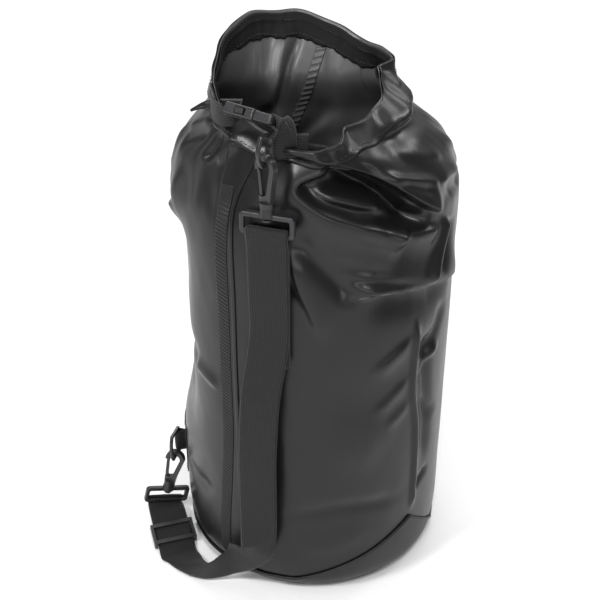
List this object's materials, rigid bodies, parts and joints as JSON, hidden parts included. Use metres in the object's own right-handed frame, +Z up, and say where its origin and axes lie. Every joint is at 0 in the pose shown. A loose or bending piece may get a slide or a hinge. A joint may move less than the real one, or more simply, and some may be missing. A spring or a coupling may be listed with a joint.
{
  "type": "dry bag",
  "caption": "Upright roll-top dry bag of coated fabric with its mouth open, side-release buckle and a clipped-on webbing shoulder strap with swivel snap hooks.",
  "frame": {"origin": "centre of the round base, on the floor", "axes": "+Z up along the bag; -Y is the front with the buckle and strap; -X is the side with the lower ring"},
  "size_m": [0.3143, 0.2795, 0.5354],
  "materials": {
    "pvc_fabric": "satin black coated fabric",
    "base_fabric": "satin black coated fabric, slightly heavier",
    "weld_tape": "embossed weld, satin black",
    "webbing": "woven black webbing",
    "hem_band": "stiff woven black webbing",
    "thread": "black bonded thread",
    "moulded_plastic": "fine satin moulded black",
    "ring_plastic": "polished moulded black",
    "pin_steel": "blackened steel pin"
  },
  "bodies": {
    "bag": {"front_wall_panel": "pvc_fabric", "rear_wall_panel": "pvc_fabric", "base_panel": "base_fabric", "base_seam_tape": "weld_tape", "front_weld_strip": "weld_tape", "rear_weld_strip": "weld_tape", "hem_fold": "pvc_fabric", "lower_anchor_patch": "pvc_fabric", "hem_webbing": "hem_band", "left_buckle_webbing": "webbing", "right_buckle_webbing": "webbing", "upper_ring_tab": "webbing", "lower_ring_tab": "webbing", "shoulder_strap": "webbing", "strap_stitching": "thread", "anchor_stitching": "thread", "hem_stitching": "thread", "buckle_male_half": "moulded_plastic", "upper_strap_frame": "moulded_plastic", "lower_strap_frame": "moulded_plastic"},
    "buckle_female": {"buckle_female_half": "moulded_plastic"},
    "outer_prong": {"buckle_outer_prong": "moulded_plastic"},
    "inner_prong": {"buckle_inner_prong": "moulded_plastic"},
    "upper_ring": {"upper_d_ring": "ring_plastic"},
    "upper_hook": {"upper_hook_body": "moulded_plastic", "upper_swivel_pin": "moulded_plastic", "upper_gate_pin": "pin_steel"},
    "upper_gate": {"upper_hook_gate": "moulded_plastic"},
    "lower_ring": {"lower_d_ring": "ring_plastic"},
    "lower_hook": {"lower_hook_body": "moulded_plastic", "lower_swivel_pin": "moulded_plastic", "lower_gate_pin": "pin_steel"},
    "lower_gate": {"lower_hook_gate": "moulded_plastic"},
    "slider": {"strap_slider": "moulded_plastic"}
  },
  "joints": [
    {"name": "buckle_release", "type": "slide", "parent": "bag", "child": "buckle_female", "axis": [-0.7771, 0.6293, 0], "range_m": [0, 0.024], "deforming": ["buckle_outer_prong", "buckle_inner_prong", "left_buckle_webbing"]},
    {"name": "outer_prong_press", "type": "hinge", "parent": "bag", "child": "outer_prong", "pos_m": [-0.04626, -0.12426, 0.4988], "axis": [-0.3147, -0.3886, -0.866], "range_deg": [0, 9], "stiffness_Nm_per_rad": 0.4},
    {"name": "inner_prong_press", "type": "hinge", "parent": "bag", "child": "inner_prong", "pos_m": [-0.03797, -0.11403, 0.4912], "axis": [0.3147, 0.3886, 0.866], "range_deg": [0, 9], "stiffness_Nm_per_rad": 0.4},
    {"name": "upper_ring_swing", "type": "hinge", "parent": "bag", "child": "upper_ring", "pos_m": [-0.032, -0.124, 0.474], "axis": [0, 0, 1], "range_deg": [-5, 5]},
    {"name": "upper_hook_swivel", "type": "hinge", "parent": "bag", "child": "upper_hook", "pos_m": [-0.04003, -0.13292, 0.4196], "axis": [0, 0, 1], "range_deg": [-10, 10]},
    {"name": "upper_gate_open", "type": "hinge", "parent": "upper_hook", "child": "upper_gate", "pos_m": [-0.04345, -0.12984, 0.433], "axis": [0.6691, 0.7431, 0], "range_deg": [0, 22], "stiffness_Nm_per_rad": 0.12},
    {"name": "lower_ring_swing", "type": "hinge", "parent": "bag", "child": "lower_ring", "pos_m": [-0.143, 0, 0.092], "axis": [0, 0, 1], "range_deg": [-5, 5]},
    {"name": "lower_hook_swivel", "type": "hinge", "parent": "bag", "child": "lower_hook", "pos_m": [-0.15574, -0.01159, 0.03638], "axis": [0.2421, 0, 0.9703], "range_deg": [-10, 10]},
    {"name": "lower_gate_open", "type": "hinge", "parent": "lower_hook", "child": "lower_gate", "pos_m": [-0.1568, -0.01037, 0.05046], "axis": [0.2583, 0.9639, -0.0644], "range_deg": [0, 22], "stiffness_Nm_per_rad": 0.12},
    {"name": "slider_travel", "type": "slide", "parent": "bag", "child": "slider", "axis": [-0.2996, 0.9388, 0.1698], "range_m": [-0.012, 0.008]}
  ]
}
